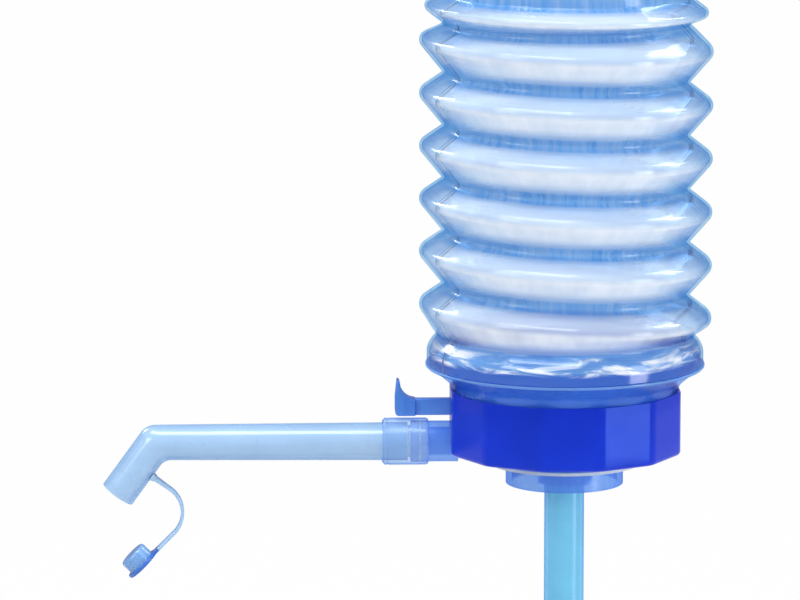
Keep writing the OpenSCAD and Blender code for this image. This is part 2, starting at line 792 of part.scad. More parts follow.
// One skin of the spout: tapered run, knee and leg. The knee is a ball on the corner, a little
// fuller than what it joins.
module spout_skin(r_near, r_far, past) {
    towards_spout(tube_start - past, outlet_z)
        cylinder(r1 = r_near, r2 = r_far, h = elbow_x - tube_start + past);
    translate([-elbow_x, 0, outlet_z]) sphere(r = r_far + knee_fuller);
    in_leg() translate([0, 0, -leg_len - past])
        cylinder(r = r_far, h = leg_len + past);
}

// Spout tube with the lug that the strap grows from
module spout_tube() {
    color(frost_blue)
    difference() {
        union() {
            spout_skin(tube_r_near - press_clear, tube_r_far, 0);
            in_leg() translate([lug_in_r, -lug_w / 2, -strap_root - lug_t / 2])
                cube([lug_out_r - lug_in_r, lug_w, lug_t]);
        }
        spout_skin(tube_bore_r, tube_bore_r, over);
    }
}

// One side of the strap in the leg's frame, off its centre line by an offset: the straight
// stretch at the lug, the turn, and the straight stretch at the cap
function strap_side(offset) =
    let (
        turn_x = lug_out_r + strap_start,
        turn_z = -strap_root - strap_turn_r,
        last = on_circle(turn_x, turn_z, strap_turn_r + offset, 90 - strap_turn)
    )
    concat(
        [[lug_out_r, -strap_root + offset]],
        arc(turn_x, turn_z, strap_turn_r + offset, 90, 90 - strap_turn, strap_steps),
        [last + strap_end * [cos(strap_turn), -sin(strap_turn)]]);

module spout_strap() {
    color(frost_blue)
    in_leg() translate([0, strap_w / 2, 0]) rotate([90, 0, 0])
        linear_extrude(height = strap_w)
        polygon(concat(strap_side(strap_t / 2), backwards(strap_side(-strap_t / 2))));
}

// Places what follows at the strap's far end: +X runs on along the strap, +Z is its outer side
module at_strap_end() {
    in_leg() translate([lug_out_r + strap_start, 0, -strap_root - strap_turn_r])
        rotate([0, strap_turn, 0])
        translate([strap_end, 0, strap_turn_r])
        children();
}

// Cap: tongue, flange and plug in one piece
module spout_cap() {
    color(sleeve_blue)
    at_strap_end() {
        translate([0, -strap_w / 2, -strap_t / 2]) cube([tongue_len + cap_edge, strap_w, strap_t]);
        translate([tongue_len + cap_flange_r, 0, 0]) {
            translate([0, 0, -cap_flange_t / 2]) cylinder(r = cap_flange_r, h = cap_flange_t);
            translate([0, 0, -cap_flange_t / 2 - cap_plug_h + cap_edge])
                cylinder(r = cap_plug_r, h = cap_plug_h - cap_edge + cap_flange_t / 2);
            translate([0, 0, -cap_flange_t / 2 - cap_plug_h])
                cylinder(r1 = cap_plug_r - cap_edge, r2 = cap_plug_r, h = cap_edge);
        }
    }
}

// Round sealing ring lying in the plane of z = 0
module seal_ring(mid_r, section_r) {
    color(rubber_grey) rotate_extrude() translate([mid_r, 0]) circle(r = section_r, $fn = 24);
}

module outlet_o_ring() {
    towards_spout(outlet_ring_x, outlet_z) seal_ring(outlet_ring_mid_r, outlet_ring_r);
}

module riser_seal() {
    translate([0, 0, riser_ring_z]) seal_ring(riser_ring_mid_r, riser_ring_r);
}

module dip_tube_upper() {
    color(tube_blue) tube(dip_r, dip_bore_r, upper_end_z, dip_top_z);
}

// A section whose reduced end plugs into the one above, with a bore all the way
module plugged_section(high_z, low_z) {
    plug_top_z = high_z + dip_plug_len;
    difference() {
        union() {
            translate([0, 0, low_z]) cylinder(r = dip_r, h = high_z - low_z);
            translate([0, 0, high_z]) cylinder(r = dip_plug_r, h = dip_plug_len);
        }
        translate([0, 0, low_z - over]) cylinder(r = dip_bore_r, h = high_z - low_z - dip_wall + over);
        translate([0, 0, low_z]) cylinder(r = dip_plug_bore_r, h = plug_top_z - low_z + over);
    }
}

module dip_tube_middle() {
    color(tube_blue) plugged_section(upper_end_z, middle_end_z);
}

// The lowest section has notches, so that it can stand on the jug's floor and still draw water
module dip_tube_lower() {
    color(tube_blue)
    difference() {
        plugged_section(middle_end_z, lower_end_z);
        for (k = [0, 1]) {
            rotate([0, 0, 90 * k])
                translate([-dip_r - over, -notch_w / 2, lower_end_z - over])
                cube([2 * (dip_r + over), notch_w, notch_h + over]);
        }
    }
}

valve_body();
collar();
funnel_deck();
rim_gasket();
deck_gasket();
bellows_skirt();
bellows_folds();
bellows_dome();
intake_valve();
intake_clip();
discharge_valve();
discharge_clip();
vent_slider();
vent_plug();
vent_spring();
spout_coupling();
spout_tube();
spout_strap();
spout_cap();
outlet_o_ring();
riser_seal();
dip_tube_upper();
dip_tube_middle();
dip_tube_lower();
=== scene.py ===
"""Looks of a press pump for a water jug: a see-through bellows on a deep blue collar, with a
frosted spout, its tethered cap, a vent tab and a dip tube. Sizes are in millimetres, as in the
part's source, and become metres where a mesh is made."""
import math

import bmesh
import bpy
from mathutils import Matrix, Vector


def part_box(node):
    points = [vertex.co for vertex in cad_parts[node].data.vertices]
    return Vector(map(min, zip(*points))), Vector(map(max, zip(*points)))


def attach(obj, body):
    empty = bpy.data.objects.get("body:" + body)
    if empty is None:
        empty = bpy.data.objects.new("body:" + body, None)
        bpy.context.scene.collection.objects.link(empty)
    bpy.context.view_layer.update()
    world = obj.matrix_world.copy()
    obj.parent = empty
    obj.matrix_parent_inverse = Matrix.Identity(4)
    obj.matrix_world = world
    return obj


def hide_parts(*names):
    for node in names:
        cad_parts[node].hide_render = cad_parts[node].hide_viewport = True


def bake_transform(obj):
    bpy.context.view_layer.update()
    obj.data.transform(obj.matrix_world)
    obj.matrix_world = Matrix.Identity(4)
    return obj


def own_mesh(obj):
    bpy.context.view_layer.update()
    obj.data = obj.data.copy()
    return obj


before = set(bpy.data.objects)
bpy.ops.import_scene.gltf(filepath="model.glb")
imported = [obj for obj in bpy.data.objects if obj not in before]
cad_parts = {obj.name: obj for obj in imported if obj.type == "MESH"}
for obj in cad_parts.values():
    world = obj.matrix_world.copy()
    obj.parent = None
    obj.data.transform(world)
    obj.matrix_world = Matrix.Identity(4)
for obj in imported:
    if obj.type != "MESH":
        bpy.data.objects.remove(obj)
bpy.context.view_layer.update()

MM = 0.001
scene = bpy.context.scene
scene.view_settings.view_transform = "Standard"
# A line of sight through the folds crosses many thin walls
scene.cycles.transparent_max_bounces = 40


# ---------------------------------------------------------------- camera, light and background

def aim(obj, place, target):
    """Puts an object at a place with its -Z towards a target, both in metres."""
    obj.location = place
    obj.rotation_euler = (Vector(target) - Vector(place)).to_track_quat("-Z", "Y").to_euler()
    scene.collection.objects.link(obj)


camera = bpy.data.objects.new("camera", bpy.data.cameras.new("camera"))
aim(camera, (-0.1287, -2.231, 0.45), (-0.0644, 0, 0.0645))
camera.data.lens = 261.7
camera.data.clip_end = 60
scene.camera = camera


def softbox(name, place, target, size, power):
    """A rectangular studio lamp: size in metres, power in watts."""
    data = bpy.data.lights.new(name, "AREA")
    data.shape, data.size, data.size_y, data.energy = "RECTANGLE", *size, power
    aim(bpy.data.objects.new(name, data), place, target)


softbox("lamp_back_left", (-1.05, 1.05, 1.0), (0, 0, 0.1), (0.35, 0.7), 11)
softbox("lamp_back_right", (1.1, 0.72, 1.35), (0, 0, 0.1), (0.45, 0.7), 11)
softbox("lamp_right", (1.04, -0.6, 0.15), (0, 0, 0.02), (0.35, 1.0), 6)
softbox("lamp_front_left", (-1.5, -1.3, 1.1), (0, 0, 0.05), (0.8, 0.8), 14)
softbox("lamp_top", (-0.3, -0.42, 1.5), (-0.06, 0, 0.05), (1.2, 0.5), 20)


def add(tree, kind, settings=None, **inputs):
    """Adds a shader node. Inputs are named with _ for a space, or i0, i1 for a place in their
    list."""
    node = tree.nodes.new("ShaderNode" + kind)
    for key, value in (settings or {}).items():
        setattr(node, key, value)
    for key, value in inputs.items():
        place = int(key[1:]) if key[0] == "i" and key[1:].isdigit() else key.replace("_", " ")
        socket = node.inputs[place]
        if isinstance(value, bpy.types.NodeSocket):
            tree.links.new(value, socket)
        else:
            socket.default_value = value
    return node


def maths(tree, operation, a, b=0.0, clamp=False):
    """The output of a Math node."""
    return add(tree, "Math", {"operation": operation, "use_clamp": clamp}, i0=a, i1=b).outputs[0]


def seen_white(tree):
    """1 where a ray from the camera, a mirror or glass arrives, so that it finds plain white."""
    path = add(tree, "LightPath").outputs
    direct = maths(tree, "MAXIMUM", path["Is Camera Ray"], path["Is Transmission Ray"])
    return maths(tree, "MAXIMUM", direct, maths(tree, "MULTIPLY", path["Is Glossy Ray"], 0.22))


world = bpy.data.worlds.new("studio")
scene.world = world
world.use_nodes = True
sky = world.node_tree
sky.nodes.clear()
dim = add(sky, "Background", Color=(0.95, 0.97, 1, 1), Strength=0.43)
white = add(sky, "Background", Color=(1, 1, 1, 1), Strength=1.0)
mixed = add(sky, "MixShader", i0=seen_white(sky), i1=dim.outputs[0], i2=white.outputs[0])
sky.links.new(mixed.outputs[0], add(sky, "OutputWorld").inputs[0])


# ---------------------------------------------------------------- materials

def start_material(name):
    """A new material with an empty tree, and the tree's output node."""
    material = bpy.data.materials.new(name)
    material.use_nodes = True
    material.node_tree.nodes.clear()
    return material, material.node_tree, add(material.node_tree, "OutputMaterial")


def blend_colours(tree, share, first, second):
    """A colour between two, by a share of 0 to 1."""
    node = add(tree, "Mix", {"data_type": "RGBA"}, i0=share, i6=first, i7=second)
    return node.outputs[2]


def remap(tree, value, low, high, to_low=0.0, to_high=1.0, smooth=False):
    """A value moved from one range to another, and kept in it."""
    settings = {"interpolation_type": "SMOOTHSTEP" if smooth else "LINEAR"}
    node = add(tree, "MapRange", settings, Value=value, From_Min=low, From_Max=high,
               To_Min=to_low, To_Max=to_high)
    return node.outputs[0]


def noise(tree, vector, scale, detail=3.0):
    """Noise of 0 to 1 at a scale per metre."""
    node = add(tree, "TexNoise", Vector=vector, Scale=scale, Detail=detail, Roughness=0.55)
    return node.outputs["Fac"]


def round_axis(tree):
    """Radius, angle and height of the shaded point about the pump's axis, in metres and radians."""
    point = add(tree, "TexCoord").outputs["Object"]
    parts = add(tree, "SeparateXYZ", Vector=point).outputs
    squares = [maths(tree, "MULTIPLY", p, p) for p in (parts[0], parts[1])]
    radius = maths(tree, "SQRT", maths(tree, "ADD", *squares))
    return radius, maths(tree, "ARCTAN2", parts[1], parts[0]), parts[2]


def streaks(tree, angle, height, count, stretch):
    """Noise that runs along the mould's draw: fine round the axis, long up and down."""
    vector = add(tree, "CombineXYZ", X=maths(tree, "MULTIPLY", angle, count),
                 Y=maths(tree, "MULTIPLY", height, stretch)).outputs[0]
    return noise(tree, vector, 1.0, 2.0)


def finish_plastic(tree, out, colour, see_through, rough, bumps, settings):
    """Principled plastic of a colour, let through by a share where it is clear."""
    point = add(tree, "TexCoord").outputs["Object"]
    gloss_haze_and_painted_reflection = noise(tree, point, 160.0)
    roughness = remap(tree, gloss_haze_and_painted_reflection, 0.25, 0.75, rough * 0.8, rough * 1.25)
    normal = None
    for height, distance in bumps:
        node = add(tree, "Bump", Strength=1.0, Distance=distance * MM, Height=height)
        if normal is not None:
            tree.links.new(normal, node.inputs["Normal"])
        normal = node.outputs[0]
    shader = add(tree, "BsdfPrincipled", Base_Color=colour, Roughness=roughness, **settings)
    if normal is not None:
        tree.links.new(normal, shader.inputs["Normal"])
    surface = shader.outputs[0]
    if see_through is not None:
        share, tint = see_through
        glass = add(tree, "BsdfTransparent", Color=tint)
        surface = add(tree, "MixShader", i0=share, i1=glass.outputs[0], i2=surface).outputs[0]
    tree.links.new(surface, out.inputs[0])


def on_edge(tree, start, end):
    """1 where a see-through wall is seen on edge, so that the sight runs a long way in it."""
    facing = add(tree, "LayerWeight", Blend=0.5).outputs["Facing"]
    return remap(tree, facing, start, end, smooth=True)


# Height of a moulded face's finest bumps, in millimetres
GRAIN = 0.006


def plastic(name, face, clear=None, rough=0.2, mottle=0.08, coat=0.3,
            sheen_tint=(0.75, 0.87, 1), mark=None, edges=(0.3, 0.9), ior=1.48):
    """Moulded plastic: cloudy colour, paler on its ridges. clear gives the share that hides
    what lies behind, and the glass's colours face on and on edge, or is None where nothing shows
    through. mark gives a mask and the colour laid on there."""
    material, tree, out = start_material(name)
    point = add(tree, "TexCoord").outputs["Object"]
    cloud = noise(tree, point, 45.0)
    lighter = [min(1, c * (1 + mottle)) for c in face] + [1]
    darker = [c * (1 - mottle) for c in face] + [1]
    colour = blend_colours(tree, remap(tree, cloud, 0.3, 0.7), darker, lighter)
    if mark:
        colour = blend_colours(tree, mark[0](tree), colour, [*mark[1], 1])
    ridge = remap(tree, add(tree, "NewGeometry").outputs["Pointiness"], 0.53, 0.62, 0, 0.35)
    colour = blend_colours(tree, ridge, colour, [min(1, c * 1.5 + 0.05) for c in face] + [1])
    see_through = None
    if clear:
        cover, tint, edge = clear
        side = on_edge(tree, *edges)
        hidden = maths(tree, "MULTIPLY", remap(tree, cloud, 0.3, 0.7, cover - 0.02, cover + 0.02),
                       remap(tree, side, 0, 1, 1, 0.55))
        see_through = (hidden, blend_colours(tree, side, [*tint, 1], [*edge, 1]))
    fine = noise(tree, point, 900.0, 2.0)
    flow = noise(tree, point, 70.0, 1.0)
    finish_plastic(tree, out, colour, see_through, rough, [(fine, GRAIN), (flow, GRAIN * 10)],
                   {"Coat_Weight": coat, "Coat_Roughness": 0.08, "IOR": ior,
                    "Specular_Tint": (*sheen_tint, 1)})
    return material


# Degrees from +X, so 26 off the spout's line
PARTING_ANGLE = 26


def bellows_plastic(name, pale, deep, foot=False):
    """Blown plastic: milky on the ribs, deep blue in the grooves, where the wall is thicker and
    where painted shade darkens each crease; a painted white reflection under each crest, with drawn
    streaks and the mould's parting line on two sides. The foot is thicker, with a painted wavy
    reflection over its bead: pale streaks with painted shade between them."""
    material, tree, out = start_material(name)
    coords = add(tree, "TexCoord").outputs
    point = coords["Object"]
    radius, angle, height = round_axis(tree)
    drawn = streaks(tree, angle, height, 24.0, 40.0)
    lines = streaks(tree, angle, height, 3.0, 1500.0)
    wide = streaks(tree, angle, height, 6.0, 60.0)
    # the outer wall's slope: above 0 on a rib's upper flank, on both faces of the wall
    x, y, _ = add(tree, "SeparateXYZ", Vector=point).outputs
    nx, ny, nz = add(tree, "SeparateXYZ", Vector=coords["Normal"]).outputs
    outwards = maths(tree, "ADD", maths(tree, "MULTIPLY", x, nx), maths(tree, "MULTIPLY", y, ny))
    slope = maths(tree, "MULTIPLY", nz, maths(tree, "SIGN", outwards))
    side = on_edge(tree, 0.36, 0.82)
    body = blend_colours(tree, remap(tree, lines, 0.3, 0.7), [*(c * 0.94 for c in pale), 1],
                         [*pale, 1])
    tint = (0.93, 0.965, 0.995, 1)
    if foot:
        # painted reflection over the bead: wavy pale streaks, with painted shade between them
        wave = add(tree, "CombineXYZ", X=maths(tree, "MULTIPLY", angle, 2.4),
                   Y=maths(tree, "MULTIPLY", height, 260.0)).outputs[0]
        wave = add(tree, "TexNoise", Vector=wave, Scale=1.0, Detail=5.0, Roughness=0.6,
                   Distortion=0.9).outputs["Fac"]
        bead = maths(tree, "MULTIPLY", remap(tree, height, 42.6 * MM, 44.6 * MM, smooth=True),
                     remap(tree, height, 50.8 * MM, 49.4 * MM, smooth=True))
        gloss_haze_and_painted_reflection = maths(tree, "MULTIPLY", remap(tree, wave, 0.46, 0.64, 0, 0.95, smooth=True), bead)
        thick = remap(tree, height, 45.5 * MM, 43.0 * MM, smooth=True)
        colour = blend_colours(tree, thick, body, [*deep, 1])
        cover = remap(tree, thick, 0, 1, 0.5, 0.75)
        # painted shade: the bead is drawn deeper blue between the painted pale streaks
        shade = remap(tree, wave, 0.3, 0.5, 0.45, 0.0)
        colour = blend_colours(tree, shade, colour, [*deep, 1])
    else:
        # the grooves are drawn deeper blue and less clear: partly a thicker wall, partly painted
        # shade in the creases
        groove = remap(tree, radius, 50.9 * MM, 49.5 * MM, smooth=True)
        thick = maths(tree, "MULTIPLY", groove, remap(tree, drawn, 0.3, 0.7, 0.6, 1.0), True)
        # painted reflection: a white band on each rib's lower flank under the crest, where the
        # flank faces down to the pale floor
        gloss_haze_and_painted_reflection = maths(tree, "MULTIPLY", remap(tree, slope, 0.35, -0.5, smooth=True),
                     remap(tree, radius, 50.4 * MM, 54.0 * MM, smooth=True))
        gloss_haze_and_painted_reflection = maths(tree, "MULTIPLY", gloss_haze_and_painted_reflection, remap(tree, wide, 0.3, 0.7, 0.6, 1.0))
        colour = blend_colours(tree, thick, body, [*deep, 1])
        cover = maths(tree, "ADD", 0.3, maths(tree, "MULTIPLY", thick, 0.12))
    # the painted white reflection is laid on the colour and hides more of what lies behind
    colour = blend_colours(tree, gloss_haze_and_painted_reflection, colour, (0.95, 0.97, 1, 1))
    cover = maths(tree, "ADD", cover, maths(tree, "MULTIPLY", gloss_haze_and_painted_reflection, 0.42), True)
    cover = maths(tree, "MULTIPLY", cover, remap(tree, side, 0, 1, 1, 0.3))
    # the parting line lies in one upright plane through the axis
    turn = maths(tree, "SUBTRACT", angle, math.radians(PARTING_ANGLE))
    off = maths(tree, "ABSOLUTE", maths(tree, "SINE", turn))
    line = remap(tree, off, 0.014, 0.009)
    colour = blend_colours(tree, maths(tree, "MULTIPLY", line, 0.95), colour,
                           [c * 0.6 for c in deep] + [1])
    cover = maths(tree, "ADD", cover, maths(tree, "MULTIPLY", line, 0.7), True)
    # on the folds the glass tint deepens in the grooves: the thicker wall and the painted crease
    # shade
    tint = blend_colours(tree, thick, tint, (0.60, 0.79, 0.94, 1))
    edge = blend_colours(tree, remap(tree, drawn, 0.4, 0.6), (0.40, 0.65, 0.88, 1),
                         (0.68, 0.83, 0.95, 1))
    finish_plastic(tree, out, colour, (cover, blend_colours(tree, side, tint, edge)), 0.14,
                   [(line, 0.25), (lines, 0.03), (noise(tree, point, 110.0, 2.0), 0.25)],
                   {"Coat_Weight": 0.9, "Coat_Roughness": 0.05, "IOR": 1.5})
    return material


def rubber(name, colour):
    """Matt rubber with moulding grain and a pale bloom in patches."""
    material, tree, out = start_material(name)
    point = add(tree, "TexCoord").outputs["Object"]
    bloom = remap(tree, noise(tree, point, 120.0), 0.5, 0.8, 0, 0.5)
    tone = blend_colours(tree, bloom, [*colour, 1], [min(1, c * 1.5 + 0.02) for c in colour] + [1])
    finish_plastic(tree, out, tone, None, 0.6, [(noise(tree, point, 1500.0), 0.04)], {"IOR": 1.5})
    return material


def steel(name):
    """Drawn spring wire: bright metal with darker patches and fine lines."""
    material, tree, out = start_material(name)
    point = add(tree, "TexCoord").outputs["Object"]
    patches = noise(tree, point, 400.0)
    colour = blend_colours(tree, remap(tree, patches, 0.35, 0.7), (0.42, 0.43, 0.45, 1),
                           (0.68, 0.69, 0.7, 1))
    finish_plastic(tree, out, colour, None, 0.3, [(noise(tree, point, 3000.0), 0.01)],
                   {"Metallic": 1.0})
    return material


def rim_line(tree):
    """The funnel's thin rim."""
    return remap(tree, round_axis(tree)[0], 53.5 * MM, 54.2 * MM)


MATERIALS = {
    "bellows_plastic": bellows_plastic("bellows_plastic", (0.84, 0.92, 1.0), (0.10, 0.38, 0.78)),
    "deep_blue_plastic": plastic("deep_blue_plastic", (0.009, 0.034, 0.57), None, 0.18, coat=0,
                                 sheen_tint=(0.2, 0.45, 1), ior=1.4),
    "clear_blue_plastic": plastic("clear_blue_plastic", (0.16, 0.35, 0.95),
                                  (0.45, (0.6, 0.78, 0.98), (0.3, 0.5, 0.92))),
    "funnel_plastic": plastic("funnel_plastic", (0.07, 0.24, 0.83),
                              (0.5, (0.6, 0.8, 0.98), (0.45, 0.65, 0.95)),
                              mark=(rim_line, (0.25, 0.5, 0.85))),
    "gasket_rubber": rubber("gasket_rubber", (0.62, 0.70, 0.78)),
    "valve_rubber": rubber("valve_rubber", (0.30, 0.33, 0.38)),
    "clip_plastic": plastic("clip_plastic", (0.55, 0.66, 0.82)),
    "vent_plastic": plastic("vent_plastic", (0.07, 0.25, 0.74),
                            (0.7, (0.45, 0.65, 0.95), (0.2, 0.4, 0.85))),
    "spring_steel": steel("spring_steel"),
    "sleeve_plastic": plastic("sleeve_plastic", (0.45, 0.67, 0.95),
                              (0.3, (0.86, 0.93, 0.99), (0.3, 0.5, 0.9))),
    "frosted_plastic": plastic("frosted_plastic", (0.40, 0.60, 0.84),
                               (0.82, (0.85, 0.92, 0.98), (0.42, 0.65, 0.89)), 0.3, mottle=0.04,
                               coat=0.7, edges=(0.15, 0.65)),
    "cap_plastic": plastic("cap_plastic", (0.20, 0.40, 0.74),
                           (0.85, (0.6, 0.78, 0.96), (0.4, 0.6, 0.9)), 0.26),
    "tube_plastic": plastic("tube_plastic", (0.24, 0.70, 1.0),
                            (0.6, (0.55, 0.85, 1.0), (0.12, 0.45, 0.9))),
}
SKIRT_PLASTIC = bellows_plastic("skirt_plastic", (0.19, 0.46, 0.86), (0.022, 0.13, 0.60), True)

# Every CAD node is dressed, also those that a piece below stands for
NODE_SLOTS = {
    "valve_body": "clear_blue_plastic", "collar": "deep_blue_plastic",
    "funnel_deck": "funnel_plastic", "rim_gasket": "gasket_rubber", "deck_gasket": "gasket_rubber",
    "bellows_skirt": "bellows_plastic", "bellows_folds": "bellows_plastic",
    "bellows_dome": "bellows_plastic", "intake_valve": "valve_rubber",
    "discharge_valve": "valve_rubber", "intake_clip": "clip_plastic",
    "discharge_clip": "clip_plastic", "vent_slider": "vent_plastic", "vent_plug": "valve_rubber",
    "vent_spring": "spring_steel", "spout_coupling": "sleeve_plastic",
    "spout_tube": "frosted_plastic", "spout_strap": "frosted_plastic", "spout_cap": "cap_plastic",
    "outlet_o_ring": "gasket_rubber", "riser_seal": "gasket_rubber",
    "dip_tube_upper": "tube_plastic", "dip_tube_middle": "tube_plastic",
    "dip_tube_lower": "tube_plastic",
}
for node_name, slot_name in NODE_SLOTS.items():
    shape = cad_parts[node_name].data
    shape.materials.clear()
    shape.materials.append(MATERIALS[slot_name])


# ---------------------------------------------------------------- mesh tools

# Edges that turn by more than this stay sharp in the shading
SHARP = math.radians(38)


def on_circle(centre, radius, degrees):
    """A point on a circle in the radius-height plane."""
    turn = math.radians(degrees)
    return (centre[0] + radius * math.cos(turn), centre[1] + radius * math.sin(turn))


def arc(centre, radius, start, end, steps):
    """Points along an arc, both ends among them."""
    return [on_circle(centre, radius, start + (end - start) * i / steps) for i in range(steps + 1)]


def soften(outline, radius, steps=4):
    """A closed outline with a short curve at each corner that turns by 24 degrees or more."""
    result = []
    for i, here in enumerate(outline):
        before = Vector(outline[i - 1]) - Vector(here)
        after = Vector(outline[(i + 1) % len(outline)]) - Vector(here)
        if min(before.length, after.length) < 1e-6:
            continue
        turn = math.pi - before.angle(after)
        if math.degrees(turn) < 24:
            result.append(tuple(here))
            continue
        reach = min(radius * math.tan(turn / 2), before.length * 0.45, after.length * 0.45)
        first = Vector(here) + before.normalized() * reach
        last = Vector(here) + after.normalized() * reach
        for k in range(steps + 1):
            t = k / steps
            point = (1 - t) ** 2 * first + 2 * t * (1 - t) * Vector(here) + t * t * last
            result.append(tuple(point))
    return result


def skin(sections, ring=True):
    """Points and faces between closed sections of equally many points. In a ring the last section
    joins the first; otherwise a face closes each end."""
    count = len(sections[0])
    points = [p for section in sections for p in section]
    faces = []
    for i in range(len(sections) if ring else len(sections) - 1):
        a, b = i * count, (i + 1) % len(sections) * count
        faces += [(a + j, a + (j + 1) % count, b + (j + 1) % count, b + j) for j in range(count)]
    if not ring:
        faces += [tuple(range(count)), tuple(range(len(points) - count, len(points)))]
    return points, faces


def turned(outline, turns=224, lean=None):
    """A closed outline of (radius, height) turned about +Z. lean gives the drop per unit of x at
    a height."""
    sections = []
    for k in range(turns):
        a = 2 * math.pi * k / turns
        section = []
        for r, z in outline:
            x = r * math.cos(a)
            section.append((x, r * math.sin(a), z - (lean(z) * x if lean else 0)))
        sections.append(section)
    return skin(sections)


def placed(shape, matrix):
    """Points moved by a matrix, with their faces."""
    points, faces = shape
    return [tuple(matrix @ Vector(p)) for p in points], faces


def joined(*shapes):
    """Several shapes as one."""
    points, faces = [], []
    for some_points, some_faces in shapes:
        faces += [tuple(len(points) + i for i in face) for face in some_faces]
        points += some_points
    return points, faces


def piece(name, shape, body, slot, nodes=(), material=None):
    """An object from points in millimetres, which rides on a body and stands for CAD nodes."""
    points, faces = shape
    mesh = bpy.data.meshes.new(name)
    mesh.from_pydata([Vector(p) * MM for p in points], [], faces)
    work = bmesh.new()
    work.from_mesh(mesh)
    bmesh.ops.remove_doubles(work, verts=work.verts, dist=2e-6)
    bmesh.ops.dissolve_degenerate(work, edges=work.edges, dist=1e-6)
    bmesh.ops.recalc_face_normals(work, faces=work.faces)
    work.to_mesh(mesh)
    work.free()
    mesh.polygons.foreach_set("use_smooth", [True] * len(mesh.polygons))
    mesh.set_sharp_from_angle(angle=SHARP)
    mesh.materials.append(material or MATERIALS[slot])
    obj = bpy.data.objects.new(name, mesh)
    scene.collection.objects.link(obj)
    if body:
        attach(obj, body)
    if nodes:
        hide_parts(*nodes)
    return obj


def settle(obj):
    """Turns an object's modifiers into its mesh."""
    graph = bpy.context.evaluated_depsgraph_get()
    shape = bpy.data.meshes.new_from_object(obj.evaluated_get(graph))
    obj.modifiers.clear()
    obj.data = shape
    shape.polygons.foreach_set("use_smooth", [True] * len(shape.polygons))
    shape.set_sharp_from_angle(angle=SHARP)


def cut(obj, shape):
    """Takes a shape out of an object."""
    knife = piece("knife", shape, None, "clip_plastic")
    modifier = obj.modifiers.new("cut", "BOOLEAN")
    modifier.operation, modifier.object, modifier.solver = "DIFFERENCE", knife, "EXACT"
    bpy.context.view_layer.update()
    settle(obj)
    bpy.data.objects.remove(knife)


def box_shape(low, high):
    """A box from corner to corner."""
    corners = [(low[0], low[1]), (high[0], low[1]), (high[0], high[1]), (low[0], high[1])]
    return skin([[(x, y, z) for x, y in corners] for z in (low[2], high[2])], ring=False)


# Along the spout: +Z of a turned shape runs along -X at a height
def towards_spout(height):
    return Matrix.Translation((0, 0, height)) @ Matrix.Rotation(-math.pi / 2, 4, "Y")


# ---------------------------------------------------------------- bellows

WALL = 1.0
RIM_R, RIM_TOP_Z, BEAD_Z = 54.0, 39.5, 44.0
BEAD_ROUND, FOOT_GROOVE_R, GROOVE_Z = 6.8, 50.4, 51.28
CREST_R, GROOVE_R, CREST_ROUND, GROOVE_ROUND = 57.0, 48.2, 3.2, 1.2
RIBS, PITCH, CREST_FALL = 6, 20.8, 8.7
FIRST_CREST_Z = GROOVE_Z + 9
TOP_GROOVE_Z = FIRST_CREST_Z + (RIBS - 1) * PITCH + CREST_FALL
TOP_RIB = (55.0, 1.8, TOP_GROOVE_Z + 5.6)
NECK_Z = TOP_RIB[2] + 6.2
DOME_R, DOME_ROUND, SHOULDER_Z, DISH = 47.8, 11.0, NECK_Z + 10, 2.5


def flank(crest, crest_round, groove, groove_round, rise):
    """Angle above level of the outer normal of the line that touches a crest's circle and a
    groove's."""
    run = (groove + groove_round) - (crest - crest_round)
    reach = math.asin((crest_round + groove_round) / math.hypot(run, rise))
    return math.degrees(math.atan2(rise, run) + reach) - 90


LOW = flank(CREST_R, CREST_ROUND, GROOVE_R, GROOVE_ROUND, PITCH - CREST_FALL)
HIGH = flank(CREST_R, CREST_ROUND, GROOVE_R, GROOVE_ROUND, CREST_FALL)
FIRST = flank(CREST_R, CREST_ROUND, FOOT_GROOVE_R, GROOVE_ROUND, 9)
BEAD = flank(RIM_R, BEAD_ROUND, FOOT_GROOVE_R, GROOVE_ROUND, GROOVE_Z - BEAD_Z)
TOP_LOW = flank(TOP_RIB[0], TOP_RIB[1], GROOVE_R, GROOVE_ROUND, 5.6)
TOP_HIGH = flank(TOP_RIB[0], TOP_RIB[1], DOME_R, GROOVE_ROUND, 6.2)


def straight(a, b, steps):
    """Points between two, neither of them among them."""
    return [tuple(Vector(a).lerp(Vector(b), i / steps)) for i in range(1, steps)]


def chain(*arcs, steps=4):
    """Arcs joined by straight stretches that are cut into steps."""
    result = list(arcs[0])
    for points in arcs[1:]:
        result += straight(result[-1], points[0], steps) + list(points)
    return result


def folds_face(wall):
    """One face of the folds, from the lowest groove to the top one."""
    foot = (FOOT_GROOVE_R + GROOVE_ROUND, GROOVE_Z)
    arcs = [arc(foot, GROOVE_ROUND + wall, 180, 180 - FIRST, 4)]
    for i in range(RIBS):
        z = FIRST_CREST_Z + i * PITCH
        groove = (GROOVE_R + GROOVE_ROUND, z + CREST_FALL)
        below, above = LOW if i else FIRST, LOW if i < RIBS - 1 else 0
        arcs.append(arc((CREST_R - CREST_ROUND, z), CREST_ROUND - wall, -below, HIGH, 10))
        arcs.append(arc(groove, GROOVE_ROUND + wall, 180 + HIGH, 180 - above, 8))
    return chain(*arcs)


def bead_face(wall):
    """One face of the bead above the bellows' foot."""
    foot = (FOOT_GROOVE_R + GROOVE_ROUND, GROOVE_Z)
    return chain(arc((RIM_R - BEAD_ROUND, BEAD_Z), BEAD_ROUND - wall, 0, BEAD, 12),
                 arc(foot, GROOVE_ROUND + wall, 180 + BEAD, 180, 4))


